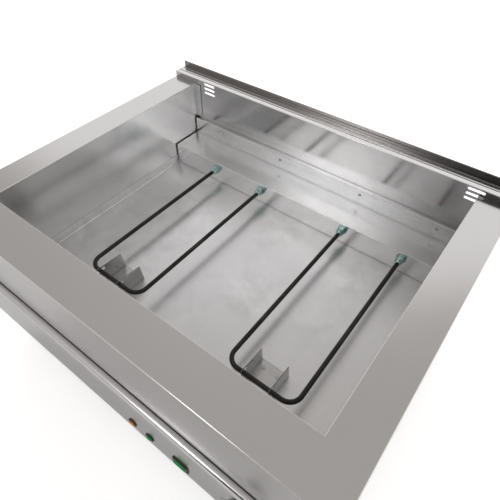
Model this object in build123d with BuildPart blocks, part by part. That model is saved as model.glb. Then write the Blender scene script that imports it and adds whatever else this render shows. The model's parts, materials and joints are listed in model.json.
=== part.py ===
from build123d import *
import math
import os

os.makedirs("parts", exist_ok=True)

# Counter-top dry-heat well cabinet in folded stainless sheet.
# Origin: centre of the body's footprint, on the plane the feet stand on.
# +X right, +Y to the rear, +Z up.  Millimetres.

# ---------------------------------------------------------------- driving sizes
RIM_SHEET = 1.2         # rim and rear sheet thickness
SHEET = 1.0             # other sheet thickness

WELL_HALF = 325.0       # half width of the well opening
RIM_SIDE = 59.0         # rim width at the sides
RIM_HALF = WELL_HALF + RIM_SIDE
Y_FRONT = -288.0        # front face of the rim's turned edge
Y_WELL = -220.0         # front edge of the well
Y_BACK = 287.0          # inner face of the back panel
Y_REAR = Y_BACK + RIM_SHEET   # outer face of the back panel
Z_RIM = 390.0           # rim's top face
Z_FLOOR = 220.0         # top of the well floor
Z_BASE = 40.0           # underside of the body
APRON = 30.0            # turned-down edge of the rim
WALL_TOP = Z_RIM - RIM_SHEET
FLOOR_UNDER = Z_FLOOR - SHEET

Y_STEP = 204.5          # front face of the element cover
Z_LEDGE = 269.0         # ledge of the cover
Y_RISER = 277.0         # riser of the cover
Z_RISER = 305.0         # top of the riser
SHEET_END = 286.9       # rear edge of the floor pan and the cover

GAP_TOP = 250.0         # shadow gap in the front
GAP_BOTTOM = 242.0

CASE_HALF = RIM_HALF - RIM_SHEET    # inner face of the rim's side apron
CASE_TOP = WALL_TOP - 0.2
CASE_END = Y_BACK - 0.1             # rear edge of the side panels
FRONT_HALF = CASE_HALF - SHEET      # half width of the front panels
PANEL_Y = Y_FRONT + RIM_SHEET       # outer face of the front panels
PANEL_IN = PANEL_Y + SHEET          # inner face
CONTROL_Y = PANEL_Y - 12.5          # outer face of the raised control panel
CONTROL_BOTTOM = 116.0              # its lower edge
CONTROL_R = 10.0                    # radius along its top

TUBE_R = 4.0            # element sheath radius
ELEMENT_Z = 253.0       # element centre height
ELEMENT_FRONT = -160.0  # centre line of the front crossbar
ELEMENT_END = 232.0     # rear end of the sheath
ELEMENT_BEND = 22.0     # bend radius
LEG_HALF = 63.2         # half the leg spacing
ELEMENT_X = (-135.2, 193.4)   # centres of the two elements
LEG_X = [x + side * LEG_HALF for x in ELEMENT_X for side in (-1, 1)]

BRACKET_X = (-143.0, 189.5)   # centres of the two floor brackets
BRACKET_HALF = 26.5
RIVET_DX = (-14.0, 14.0)      # rivets either side of a bracket's centre
RIVET_Y = -121.0
RIVET_HOLE_R = 1.65
RIVETS = [(x + dx, RIVET_Y) for x in BRACKET_X for dx in RIVET_DX]

GROMMET_X, GROMMET_Y = GROMMET = (300.0, 246.0)

FOOT_X, FOOT_Y = 330.0, 236.0
STUD_R = 5.0
FEET = {"front_left": (-FOOT_X, -FOOT_Y), "front_right": (FOOT_X, -FOOT_Y),
        "rear_left": (-FOOT_X, FOOT_Y), "rear_right": (FOOT_X, FOOT_Y)}

# places of the controls along the panel, and their common height
KNOB_X, SWITCH_X, CONTROL_Z = 262.0, 150.0, 150.0
LAMPS = {"lamp_lens_power": 82.0, "lamp_lens_heat": 42.0}

# rear electrics
INLET_X, INLET_Z = 250.0, 100.0
INLET_SCREW_DX = 20.0
EARTH_AT = (180.0, 100.0)

# screws, as (x, z)
COVER_SCREWS = [(x, 292.0) for x in (-250.0, -74.0, 123.0, 285.0)]
SIDE_SCREW_X = 376.0
SIDE_SCREW_Z = (70.0, 200.0, 340.0)
REAR_SIDE_SCREWS = [(x, z) for x in (-SIDE_SCREW_X, SIDE_SCREW_X) for z in SIDE_SCREW_Z]
REAR_BASE_SCREWS = [(x, 46.5) for x in (-300.0, -100.0, 100.0, 300.0)]
FRONT_BASE_SCREWS = [(x, 52.5) for x in (-330.0, -110.0, 110.0, 330.0)]
CASING_HOLE_R = 2.1


# ---------------------------------------------------------------- helpers
def edges_at(piece, kind, x=None, y=None, z=None, tol=0.02, radius_over=None):
    """Edges of one kind (an axis or a geometry type) whose centre lies at the given place."""
    found = ShapeList()
    for edge in piece.edges().filter_by(kind):
        centre = edge.center()
        pairs = ((centre.X, x), (centre.Y, y), (centre.Z, z))
        if any(want is not None and abs(have - want) > tol for have, want in pairs):
            continue
        if radius_over is not None and edge.radius <= radius_over:
            continue
        found.append(edge)
    return found


def grid(firsts, seconds):
    return [(a, b) for a in firsts for b in seconds]


def xz_at(y):
    """XZ plane at y; its normal points to the front."""
    return Plane.XZ.offset(-y)


def facing_front(x, y, z):
    return Plane(origin=(x, y, z), x_dir=(1, 0, 0), z_dir=(0, -1, 0))


def facing_rear(x, y, z, across=1):
    """Plane facing the rear; across=-1 makes its own Y point up."""
    return Plane(origin=(x, y, z), x_dir=(across, 0, 0), z_dir=(0, 1, 0))


def bored_discs(planes, radius, bore, thickness, sides=0):
    """Discs, or polygons where sides are given, with a central bore."""
    with BuildPart() as discs:
        for plane in planes:
            with BuildSketch(plane):
                if sides:
                    RegularPolygon(radius, sides)
                else:
                    Circle(radius)
                Circle(bore, mode=Mode.SUBTRACT)
            extrude(amount=thickness)
    return discs


def screws(planes, head, shank, recess_floor, recess, rounding=None):
    """Screws seated on planes. head and shank: (radius, length); recess: rectangle sizes."""
    head_radius, head_height = head
    shank_radius, shank_length = shank
    with BuildPart() as group:
        for plane in planes:
            with BuildSketch(plane):
                Circle(head_radius)
            extrude(amount=head_height)
            with BuildSketch(plane):
                Circle(shank_radius)
            extrude(amount=-shank_length)
            with BuildSketch(plane.offset(recess_floor)):
                for width, height in recess:
                    Rectangle(width, height)
            extrude(amount=2.0, mode=Mode.SUBTRACT)
        if rounding:
            tops = [plane.offset(head_height).origin.Y for plane in planes]
            rims = edges_at(group, GeomType.CIRCLE, radius_over=head_radius - 0.1)
            fillet(ShapeList([e for e in rims
                              if any(abs(e.center().Y - top) < 0.02 for top in tops)]), rounding)
    return group


def save(piece, name):
    piece.part.label = name
    export_step(piece.part, "parts/" + name + ".step")


# ---------------------------------------------------------------- rim
CUT_END = Y_BACK + 5     # the rim is cut open through its rear edge
with BuildPart() as top_frame:
    with BuildSketch(Plane.XY.offset(Z_RIM - APRON)):
        with Locations((0, (Y_FRONT + Y_BACK) / 2)):
            Rectangle(2 * RIM_HALF, Y_BACK - Y_FRONT)
    extrude(amount=APRON)
    fillet(top_frame.edges().filter_by(Axis.Z).filter_by(lambda e: e.center().Y < 0), 3.0)
    fillet(edges_at(top_frame, Axis.X, y=Y_FRONT, z=Z_RIM)
           + edges_at(top_frame, Axis.Y, z=Z_RIM)
           + edges_at(top_frame, GeomType.CIRCLE, z=Z_RIM), 1.6)
    # hollow below the sheet
    with BuildSketch(Plane.XY.offset(Z_RIM - APRON)):
        with Locations((0, (Y_FRONT + RIM_SHEET + CUT_END) / 2)):
            Rectangle(2 * CASE_HALF, CUT_END - Y_FRONT - RIM_SHEET)
    extrude(amount=APRON - RIM_SHEET, mode=Mode.SUBTRACT)
    # well opening
    with BuildSketch(Plane.XY.offset(Z_RIM - 5)):
        with Locations((0, (Y_WELL + CUT_END) / 2)):
            Rectangle(2 * WELL_HALF, CUT_END - Y_WELL)
    extrude(amount=10, mode=Mode.SUBTRACT)
    fillet(edges_at(top_frame, Axis.X, y=Y_WELL, z=Z_RIM)
           + edges_at(top_frame, Axis.Y, x=-WELL_HALF, z=Z_RIM)
           + edges_at(top_frame, Axis.Y, x=WELL_HALF, z=Z_RIM), 0.9)
save(top_frame, "top_frame")

# ---------------------------------------------------------------- well walls
WALL_END = 286.2         # rear end of the side walls, just ahead of the back panel
WALL_FLANGE = 17.0


def side_wall(side):
    wall_front = Y_WELL - SHEET
    # rear flange: inwards on the left, outwards on the right
    if side < 0:
        flange_x = -(WELL_HALF + SHEET - WALL_FLANGE / 2)
    else:
        flange_x = WELL_HALF + WALL_FLANGE / 2
    with BuildPart() as wall:
        with BuildSketch(Plane.XY.offset(FLOOR_UNDER)):
            with Locations((side * (WELL_HALF + SHEET / 2), (wall_front + WALL_END) / 2)):
                Rectangle(SHEET, WALL_END - wall_front)
        extrude(amount=WALL_TOP - FLOOR_UNDER)
        with BuildSketch(Plane.XY.offset(Z_RISER + 4)):
            with Locations((flange_x, WALL_END - SHEET / 2)):
                Rectangle(WALL_FLANGE, SHEET)
        extrude(amount=WALL_TOP - Z_RISER - 4)
        if side < 0:
            fillet(edges_at(wall, Axis.Z, x=side * (WELL_HALF + SHEET), y=WALL_END), 0.8)
    return wall


save(side_wall(-1), "well_wall_left")
save(side_wall(1), "well_wall_right")

with BuildPart() as well_wall_front:
    with BuildSketch(Plane.XY.offset(FLOOR_UNDER)):
        with Locations((0, Y_WELL - SHEET / 2)):
            Rectangle(2 * WELL_HALF, SHEET)
    extrude(amount=WALL_TOP - FLOOR_UNDER)
save(well_wall_front, "well_wall_front")

# ---------------------------------------------------------------- floor pan
UPTURN = 19.0            # upturn at the front and sides
PAN_CUT_END = 292.0      # the pan is open at the rear
with BuildPart() as floor_pan:
    with BuildSketch(Plane.XY.offset(FLOOR_UNDER)):
        with Locations((0, (Y_WELL + SHEET_END) / 2)):
            Rectangle(2 * WELL_HALF, SHEET_END - Y_WELL)
    extrude(amount=SHEET + UPTURN)
    with BuildSketch(Plane.XY.offset(Z_FLOOR)):
        with Locations((0, (Y_WELL + SHEET + PAN_CUT_END) / 2)):
            Rectangle(2 * WELL_HALF - 2 * SHEET, PAN_CUT_END - Y_WELL - SHEET)
    extrude(amount=UPTURN + 1, mode=Mode.SUBTRACT)
    fillet(edges_at(floor_pan, Axis.Y, z=Z_FLOOR)
           + edges_at(floor_pan, Axis.X, y=Y_WELL + SHEET, z=Z_FLOOR), 2.0)
    with Locations(*[(x, y, Z_FLOOR) for x, y in RIVETS]):
        Hole(RIVET_HOLE_R)
    with Locations((GROMMET_X, GROMMET_Y, Z_FLOOR)):
        Hole(8.0)
save(floor_pan, "floor_pan")

# ---------------------------------------------------------------- stepped element cover
COVER_HALF = WELL_HALF - SHEET - 2.2
COVER_FOOT_END = 227.0   # rear edge of the flange on the floor
# (y, z) around the folded sheet: outer face upwards, then inner face back down
COVER_PROFILE = [
    (COVER_FOOT_END, Z_FLOOR), (Y_STEP, Z_FLOOR), (Y_STEP, Z_LEDGE), (Y_RISER, Z_LEDGE),
    (Y_RISER, Z_RISER), (SHEET_END, Z_RISER), (SHEET_END, Z_RISER - SHEET),
    (Y_RISER + SHEET, Z_RISER - SHEET), (Y_RISER + SHEET, Z_LEDGE - SHEET),
    (Y_STEP + SHEET, Z_LEDGE - SHEET), (Y_STEP + SHEET, Z_FLOOR + SHEET),
    (COVER_FOOT_END, Z_FLOOR + SHEET),
]
with BuildPart() as element_cover:
    with BuildSketch(Plane.YZ.offset(-COVER_HALF)):
        with BuildLine():
            Polyline(*COVER_PROFILE, close=True)
        make_face()
    extrude(amount=2 * COVER_HALF)
    fillet(edges_at(element_cover, Axis.X, y=Y_STEP, z=Z_LEDGE)
           + edges_at(element_cover, Axis.X, y=Y_RISER, z=Z_RISER)
           + edges_at(element_cover, Axis.X, y=Y_RISER + SHEET, z=Z_LEDGE - SHEET), 1.3)
    fillet(edges_at(element_cover, Axis.X, y=Y_RISER, z=Z_LEDGE), 0.6)
    # bush holes
    with BuildSketch(xz_at(Y_STEP - 5)):
        with Locations(*grid(LEG_X, [ELEMENT_Z])):
            Circle(7.1)
    extrude(amount=-15, mode=Mode.SUBTRACT)
    # screw holes
    with BuildSketch(xz_at(Y_RISER - 2)):
        with Locations(*COVER_SCREWS):
            Circle(1.7)
    extrude(amount=-5, mode=Mode.SUBTRACT)
save(element_cover, "element_cover")

# ---------------------------------------------------------------- back panel with vents
TRACK_TOP = 402.0        # top of the grooved rail
TRACK_SHEET = 2.2
TRACK_UNDER = TRACK_TOP - TRACK_SHEET
FLANGE_END = 310.0       # rear edge of the back panel's top flange
with BuildPart() as back_panel:
    with BuildSketch(Plane.XY.offset(Z_BASE)):
        with Locations((0, Y_BACK + RIM_SHEET / 2)):
            Rectangle(2 * RIM_HALF, RIM_SHEET)
    extrude(amount=TRACK_UNDER - Z_BASE)
    with BuildSketch(Plane.XY.offset(TRACK_UNDER - RIM_SHEET)):
        with Locations((0, (Y_BACK + FLANGE_END) / 2)):
            Rectangle(2 * RIM_HALF, FLANGE_END - Y_BACK)
    extrude(amount=RIM_SHEET)
    # upper vent slots, one column towards each side
    with BuildSketch(xz_at(Y_BACK - 5)):
        with Locations(*grid((-282.2, 318.8), (395.0, 385.0, 375.0))):
            RectangleRounded(29.6, 5.4, 1.6)
    extrude(amount=-15, mode=Mode.SUBTRACT)
    with BuildSketch(xz_at(Y_BACK - 5)):
        with Locations((INLET_X, INLET_Z)):
            RectangleRounded(27.4, 20.4, 2.0)
        with Locations(EARTH_AT):
            Circle(3.1)
        with Locations(*REAR_SIDE_SCREWS):
            Circle(CASING_HOLE_R)
        with Locations(*REAR_BASE_SCREWS):
            Circle(CASING_HOLE_R)
        with Locations(*[(INLET_X + dx, INLET_Z) for dx in (-INLET_SCREW_DX, INLET_SCREW_DX)]):
            Circle(1.6)
        # lower louvre slots of the wiring space
        with Locations(*grid((-220.0, -160.0, -100.0, -40.0),
                             (120.0, 132.0, 144.0, 156.0, 168.0))):
            SlotOverall(44.0, 4.0)
    extrude(amount=-15, mode=Mode.SUBTRACT)
save(back_panel, "back_panel")

# ---------------------------------------------------------------- grooved rail and upstand
TRACK_END = 318.5        # rear edge of the rail
GROOVE_FLOOR = TRACK_TOP - 1.5
# (y, z): chamfered front edge, two tapered grooves, square rear
TRACK_PROFILE = [
    (286.0, TRACK_UNDER), (286.0, TRACK_TOP - 0.7), (286.7, TRACK_TOP),
    (296.6, TRACK_TOP), (296.9, GROOVE_FLOOR), (299.1, GROOVE_FLOOR), (299.4, TRACK_TOP),
    (308.6, TRACK_TOP), (308.9, GROOVE_FLOOR), (311.1, GROOVE_FLOOR), (311.4, TRACK_TOP),
    (TRACK_END, TRACK_TOP), (TRACK_END, TRACK_UNDER),
]
with BuildPart() as rear_track:
    with BuildSketch(Plane.YZ.offset(-RIM_HALF)):
        with BuildLine():
            Polyline(*TRACK_PROFILE, close=True)
        make_face()
    extrude(amount=2 * RIM_HALF)
save(rear_track, "rear_track")

UPSTAND_TOP = 414.0
UPSTAND_BOTTOM = 386.0
HEM_DEPTH = 9.0          # height of the hem folded down behind the upstand
HEM_END = TRACK_END + 2.6
# (y, z)
UPSTAND_PROFILE = [
    (TRACK_END, UPSTAND_BOTTOM), (TRACK_END, UPSTAND_TOP), (HEM_END, UPSTAND_TOP),
    (HEM_END, UPSTAND_TOP - HEM_DEPTH), (TRACK_END + 1.4, UPSTAND_TOP - HEM_DEPTH),
    (TRACK_END + 1.4, UPSTAND_TOP - RIM_SHEET), (TRACK_END + RIM_SHEET, UPSTAND_TOP - RIM_SHEET),
    (TRACK_END + RIM_SHEET, UPSTAND_BOTTOM),
]
with BuildPart() as rear_upstand:
    with BuildSketch(Plane.YZ.offset(-RIM_HALF)):
        with BuildLine():
            Polyline(*UPSTAND_PROFILE, close=True)
        make_face()
    extrude(amount=2 * RIM_HALF)
    fillet(edges_at(rear_upstand, Axis.X, y=TRACK_END, z=UPSTAND_TOP)
           + edges_at(rear_upstand, Axis.X, y=HEM_END, z=UPSTAND_TOP), 1.1)
save(rear_upstand, "rear_upstand")


# ---------------------------------------------------------------- outer casing
def side_panel(side):
    flange = 16.0
    flange_bottom = Z_BASE + 20
    with BuildPart() as panel:
        with BuildSketch(Plane.XY.offset(Z_BASE)):
            with Locations((side * (CASE_HALF - SHEET / 2), (PANEL_Y + CASE_END) / 2)):
                Rectangle(SHEET, CASE_END - PANEL_Y)
        extrude(amount=CASE_TOP - Z_BASE)
        # inward flange at the rear edge, to which the back panel is screwed
        with BuildSketch(Plane.XY.offset(flange_bottom)):
            with Locations((side * (CASE_HALF - flange / 2), CASE_END - SHEET / 2)):
                Rectangle(flange, SHEET)
        extrude(amount=WALL_TOP - 8 - flange_bottom)
        with BuildSketch(xz_at(Y_BACK - 5)):
            with Locations(*[(side * SIDE_SCREW_X, z) for z in SIDE_SCREW_Z]):
                Circle(CASING_HOLE_R)
        extrude(amount=-15, mode=Mode.SUBTRACT)
        # ventilation louvre slots low on the side
        with BuildSketch(Plane.YZ.offset(side * (CASE_HALF - 5))):
            with Locations(*grid((-110.0, -50.0, 10.0, 70.0),
                                 (90.0, 102.0, 114.0, 126.0, 138.0))):
                SlotOverall(44.0, 4.0)
        extrude(amount=side * 10, mode=Mode.SUBTRACT)
    return panel


save(side_panel(-1), "side_panel_left")
save(side_panel(1), "side_panel_right")

FASCIA_RETURN = PANEL_Y + 18     # rear edge of the fascia's bottom return
with BuildPart() as front_fascia:
    with BuildSketch(Plane.YZ.offset(-FRONT_HALF)):
        with BuildLine():
            Polyline((PANEL_Y, CASE_TOP), (PANEL_Y, GAP_TOP), (FASCIA_RETURN, GAP_TOP),
                     (FASCIA_RETURN, GAP_TOP + SHEET), (PANEL_IN, GAP_TOP + SHEET),
                     (PANEL_IN, CASE_TOP), close=True)
        make_face()
    extrude(amount=2 * FRONT_HALF)
    fillet(edges_at(front_fascia, Axis.X, y=PANEL_Y, z=GAP_TOP), 1.3)
save(front_fascia, "front_fascia")

# raised control panel, rounded along its top and stepped back to the kick strip below
CONTROL_RETURN = PANEL_Y + 24    # rear edge of its top return
ARC_Y = CONTROL_Y + CONTROL_R    # centre of the rounded top
ARC_Z = GAP_BOTTOM - CONTROL_R
INNER_R = CONTROL_R - SHEET
COS_45 = math.sqrt(0.5)
CHEEK_Y = CONTROL_Y + 0.4        # front, bottom and top of the cheeks
CHEEK_BOTTOM = CONTROL_BOTTOM + 0.5
CHEEK_TOP = GAP_BOTTOM - 0.4
with BuildPart() as control_panel:
    with BuildSketch(Plane.YZ.offset(-FRONT_HALF)):
        with BuildLine():
            Polyline((CONTROL_RETURN, GAP_BOTTOM), (ARC_Y, GAP_BOTTOM))
            ThreePointArc((ARC_Y, GAP_BOTTOM),
                          (ARC_Y - CONTROL_R * COS_45, ARC_Z + CONTROL_R * COS_45),
                          (CONTROL_Y, ARC_Z))
            Polyline((CONTROL_Y, ARC_Z), (CONTROL_Y, CONTROL_BOTTOM), (PANEL_Y, CONTROL_BOTTOM),
                     (PANEL_Y, Z_BASE), (PANEL_IN, Z_BASE), (PANEL_IN, CONTROL_BOTTOM + SHEET),
                     (CONTROL_Y + SHEET, CONTROL_BOTTOM + SHEET), (CONTROL_Y + SHEET, ARC_Z))
            ThreePointArc((CONTROL_Y + SHEET, ARC_Z),
                          (ARC_Y - INNER_R * COS_45, ARC_Z + INNER_R * COS_45),
                          (ARC_Y, GAP_BOTTOM - SHEET))
            Polyline((ARC_Y, GAP_BOTTOM - SHEET), (CONTROL_RETURN, GAP_BOTTOM - SHEET),
                     (CONTROL_RETURN, GAP_BOTTOM))
        make_face()
    extrude(amount=2 * FRONT_HALF)
    fillet(edges_at(control_panel, Axis.X, y=CONTROL_Y, z=CONTROL_BOTTOM), 0.8)
    # cheeks closing the ends of the raised part
    for x in (-FRONT_HALF, FRONT_HALF - SHEET):
        with BuildSketch(Plane.YZ.offset(x)) as cheek:
            with BuildLine():
                Polyline((CHEEK_Y, CHEEK_BOTTOM), (CHEEK_Y, CHEEK_TOP), (PANEL_IN, CHEEK_TOP),
                         (PANEL_IN, CHEEK_BOTTOM), close=True)
            make_face()
            # in the sketch X is depth and Y is height
            fillet(ShapeList([v for v in cheek.vertices()
                              if abs(v.X - CHEEK_Y) < 0.01 and v.Y > 200]), 9.6)
            fillet(ShapeList([v for v in cheek.vertices()
                              if abs(v.X - CHEEK_Y) < 0.01 and v.Y < 200]), 1.2)
        extrude(amount=SHEET)
    # openings for the thermostat, switch and lamps
    with BuildSketch(xz_at(CONTROL_Y - 5)):
        with Locations((KNOB_X, CONTROL_Z)):
            Circle(5.1)
        with Locations((SWITCH_X, CONTROL_Z)):
            Rectangle(27.4, 19.4)
        with Locations(*grid(LAMPS.values(), [CONTROL_Z])):
            Circle(6.1)
    extrude(amount=-10, mode=Mode.SUBTRACT)
    with BuildSketch(xz_at(PANEL_Y - 2)):
        with Locations(*FRONT_BASE_SCREWS):
            Circle(CASING_HOLE_R)
    extrude(amount=-10, mode=Mode.SUBTRACT)
save(control_panel, "control_panel")

BASE_MID_Y = (PANEL_IN + Y_BACK) / 2
BASE_LENGTH = Y_BACK - PANEL_IN
with BuildPart() as base_plate:
    # tray with an upturned edge
    with BuildSketch(Plane.XY.offset(Z_BASE)):
        with Locations((0, BASE_MID_Y)):
            Rectangle(2 * FRONT_HALF, BASE_LENGTH)
    extrude(amount=18)
    with BuildSketch(Plane.XY.offset(Z_BASE + SHEET)):
        with Locations((0, BASE_MID_Y)):
            Rectangle(2 * FRONT_HALF - 2 * SHEET, BASE_LENGTH - 2 * SHEET)
    extrude(amount=20, mode=Mode.SUBTRACT)
    with Locations(*[(x, y, Z_BASE + SHEET) for x, y in FEET.values()]):
        Hole(STUD_R + 0.06)
    # slots through the bottom
    with BuildSketch(Plane.XY.offset(Z_BASE - 1)):
        with Locations(*grid((-200.0, -140.0, -80.0, -20.0, 40.0, 100.0),
                             (-60.0, -45.0, -30.0, -15.0))):
            SlotOverall(46.0, 5.0)
    extrude(amount=5, mode=Mode.SUBTRACT)
    with BuildSketch(xz_at(PANEL_IN - 1)):
        with Locations(*FRONT_BASE_SCREWS):
            Circle(CASING_HOLE_R)
    extrude(amount=-5, mode=Mode.SUBTRACT)
    with BuildSketch(xz_at(Y_BACK + 2)):
        with Locations(*REAR_BASE_SCREWS):
            Circle(CASING_HOLE_R)
    extrude(amount=6, mode=Mode.SUBTRACT)
save(base_plate, "base_plate")


# ---------------------------------------------------------------- heating elements
def element(centre_x):
    """Sheathed U with its crossbar at the front and its legs running to the rear."""
    left, right = centre_x - LEG_HALF, centre_x + LEG_HALF
    with BuildPart() as tube:
        with BuildLine() as path:
            FilletPolyline((left, ELEMENT_END, ELEMENT_Z), (left, ELEMENT_FRONT, ELEMENT_Z),
                           (right, ELEMENT_FRONT, ELEMENT_Z), (right, ELEMENT_END, ELEMENT_Z),
                           radius=ELEMENT_BEND)
        with BuildSketch(Plane(origin=(left, ELEMENT_END, ELEMENT_Z), z_dir=(0, -1, 0))):
            Circle(TUBE_R)
        sweep(path=path.wires()[0])
    return tube


save(element(ELEMENT_X[0]), "heating_element_left")
save(element(ELEMENT_X[1]), "heating_element_right")

# screwed bushes: collar, hexagon against the washer, thread through the cover
WASHER = 1.0
BUSH_HEX = 6.5           # length of the hexagon
BUSH_COLLAR = 9.5        # length of the collar ahead of it
BUSH_SEAT = Y_STEP - WASHER
with BuildPart() as element_bushes:
    for x in LEG_X:
        seat = facing_front(x, BUSH_SEAT, ELEMENT_Z)
        with BuildSketch(seat):
            RegularPolygon(9.6, 6)
        extrude(amount=BUSH_HEX)
        with BuildSketch(seat.offset(BUSH_HEX)):
            Circle(7.2)
        extrude(amount=BUSH_COLLAR)
        with BuildSketch(seat):
            Circle(7.0)
        extrude(amount=-15.0)
        with BuildSketch(seat.offset(-20)):
            Circle(TUBE_R + 0.05)
        extrude(amount=60, mode=Mode.SUBTRACT)
    chamfer(edges_at(element_bushes, GeomType.CIRCLE, y=BUSH_SEAT - BUSH_HEX - BUSH_COLLAR,
                     tol=0.05, radius_over=7.0), 1.2)
save(element_bushes, "element_bushes")

bush_washers = bored_discs([facing_front(x, Y_STEP, ELEMENT_Z) for x in LEG_X],
                           radius=10.4, bore=7.1, thickness=WASHER)
save(bush_washers, "bush_washers")

bush_nuts = bored_discs([facing_rear(x, Y_STEP + SHEET + 0.05, ELEMENT_Z) for x in LEG_X],
                        radius=9.8, bore=7.05, thickness=5.0, sides=6)
save(bush_nuts, "bush_nuts")

element_insulators = bored_discs([facing_rear(x, ELEMENT_END + 0.05, ELEMENT_Z) for x in LEG_X],
                                 radius=5.0, bore=1.85, thickness=6.0)
save(element_insulators, "element_insulators")

# terminals: pin, hexagon and flat tab
with BuildPart() as element_terminals:
    for x in LEG_X:
        with BuildSketch(facing_rear(x, ELEMENT_END + 0.02, ELEMENT_Z)):
            Circle(1.8)
        extrude(amount=16.0)
        with BuildSketch(facing_rear(x, ELEMENT_END + 9.0, ELEMENT_Z)):
            RegularPolygon(4.0, 6)
        extrude(amount=3.0)
        with BuildSketch(Plane(origin=(x, ELEMENT_END + 12.2, ELEMENT_Z - 0.6),
                               x_dir=(1, 0, 0), z_dir=(0, 0, 1))):
            with Locations((0, 5.0)):
                Rectangle(6.3, 12.0)
        extrude(amount=0.8)
save(element_terminals, "element_terminals")


# ---------------------------------------------------------------- floor brackets
def bracket(centre_x):
    """Channel on the floor, its cheeks notched at the front to hold the crossbar."""
    foot_front, foot_back = -162.0, -108.0
    jaw_front = -167.0
    notch_back, notch_bottom, notch_top = -150.0, 248.7, 257.3
    # (y, z)
    cheek_profile = [
        (foot_front, Z_FLOOR), (foot_back, Z_FLOOR), (foot_back - 3.5, 256.5),
        (jaw_front, 261.0), (jaw_front, notch_top), (notch_back, notch_top),
        (notch_back, notch_bottom), (jaw_front, notch_bottom), (foot_front, 232.0),
    ]
    with BuildPart() as holder:
        with BuildSketch(Plane.XY.offset(Z_FLOOR)):
            with Locations((centre_x, (foot_front + foot_back) / 2)):
                Rectangle(2 * BRACKET_HALF, foot_back - foot_front)
        extrude(amount=RIM_SHEET)
        for x in (centre_x - BRACKET_HALF, centre_x + BRACKET_HALF - RIM_SHEET):
            with BuildSketch(Plane.YZ.offset(x)):
                with BuildLine():
                    Polyline(*cheek_profile, close=True)
                make_face()
            extrude(amount=RIM_SHEET)
        fillet(edges_at(holder, Axis.X, y=notch_back), 2.0)
        with Locations(*[(centre_x + dx, RIVET_Y, Z_FLOOR + RIM_SHEET) for dx in RIVET_DX]):
            Hole(RIVET_HOLE_R, depth=5)
    return holder


save(bracket(BRACKET_X[0]), "element_bracket_left")
save(bracket(BRACKET_X[1]), "element_bracket_right")

RIVET_SEAT = Z_FLOOR + RIM_SHEET
RIVET_TAIL, RIVET_HEAD = 1.4, 1.0     # heights below the pan and above the bracket
with BuildPart() as bracket_rivets:
    for place in RIVETS:
        with BuildSketch(Plane.XY.offset(FLOOR_UNDER - RIVET_TAIL)):
            with Locations(place):
                Circle(2.6)
        extrude(amount=RIVET_TAIL)
        with BuildSketch(Plane.XY.offset(FLOOR_UNDER)):
            with Locations(place):
                Circle(1.6)
        extrude(amount=SHEET + RIM_SHEET)
        with BuildSketch(Plane.XY.offset(RIVET_SEAT)):
            with Locations(place):
                Circle(3.2)
                Circle(1.0, mode=Mode.SUBTRACT)
        extrude(amount=RIVET_HEAD)
    chamfer(edges_at(bracket_rivets, GeomType.CIRCLE, z=RIVET_SEAT + RIVET_HEAD,
                     radius_over=3), 0.6)
save(bracket_rivets, "bracket_rivets")

cover_screws = screws([facing_front(x, Y_RISER, z) for x, z in COVER_SCREWS],
                      head=(2.9, 1.5), shank=(1.6, 8.0), recess_floor=0.7,
                      recess=[(3.4, 0.8), (0.8, 3.4)], rounding=0.9)
save(cover_screws, "cover_screws")

# ---------------------------------------------------------------- levelling feet
STUD_BOTTOM, STUD_LENGTH = 6.0, 62.0
# (radius, z), revolved about the foot's axis, with a socket for the stud
PAD_PROFILE = [
    (0, 0), (17.5, 0), (19.0, 1.5), (18.0, 9.5), (14.0, 14.0),
    (STUD_R + 0.05, 14.0), (STUD_R + 0.05, STUD_BOTTOM - 0.05), (0, STUD_BOTTOM - 0.05),
]


def foot_stud(x, y):
    with BuildPart() as stud:
        with BuildSketch(Plane.XY.offset(STUD_BOTTOM)):
            with Locations((x, y)):
                Circle(STUD_R)
        extrude(amount=STUD_LENGTH)
        with BuildSketch(Plane.XY.offset(14.0)):
            with Locations((x, y)):
                RegularPolygon(9.0, 6)
        extrude(amount=6.0)
        chamfer(edges_at(stud, GeomType.CIRCLE, z=STUD_BOTTOM + STUD_LENGTH), 1.0)
    return stud


def foot_pad(x, y):
    with BuildPart() as pad:
        with BuildSketch(Plane.XZ):
            with BuildLine():
                Polyline(*PAD_PROFILE, close=True)
            make_face()
        revolve(axis=Axis.Z)
    pad.part.position = Vector(x, y, 0)
    return pad


for corner, (x, y) in FEET.items():
    save(foot_stud(x, y), "foot_stud_" + corner)
    save(foot_pad(x, y), "foot_pad_" + corner)

foot_nuts = bored_discs([Plane.XY.offset(Z_BASE + SHEET).move(Location((x, y, 0)))
                         for x, y in FEET.values()],
                        radius=9.8, bore=STUD_R + 0.05, thickness=8.0, sides=6)
save(foot_nuts, "foot_nuts")


# ---------------------------------------------------------------- thermostat
def control_plane(x):
    """Plane on the control panel's outer face, facing outwards."""
    return facing_front(x, CONTROL_Y, CONTROL_Z)


KNOB_PLANE = control_plane(KNOB_X)
BODY_DEPTH = 30.0
TAB_LENGTH = 12.0
TAB_DX, TAB_DZ = 12, 10      # tabs either side of the body's centre
DIAL = 0.8                   # dial plate thickness
with BuildPart() as thermostat_body:
    with BuildSketch(KNOB_PLANE.offset(-SHEET - BODY_DEPTH)):
        RectangleRounded(44.0, 40.0, 3.0)
    extrude(amount=BODY_DEPTH)
    # neck through the panel
    with BuildSketch(KNOB_PLANE.offset(-SHEET)):
        Circle(5.0)
    extrude(amount=SHEET + 3.5)
    # bore for the shaft
    with BuildSketch(KNOB_PLANE.offset(-SHEET - 20.0)):
        Circle(3.05)
    extrude(amount=30.0, mode=Mode.SUBTRACT)
    with BuildSketch(KNOB_PLANE.offset(-SHEET - BODY_DEPTH - TAB_LENGTH)):
        with Locations(*grid((-TAB_DX, TAB_DX), (-TAB_DZ, TAB_DZ))):
            Rectangle(6.3, 0.8)
    extrude(amount=TAB_LENGTH)
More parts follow.
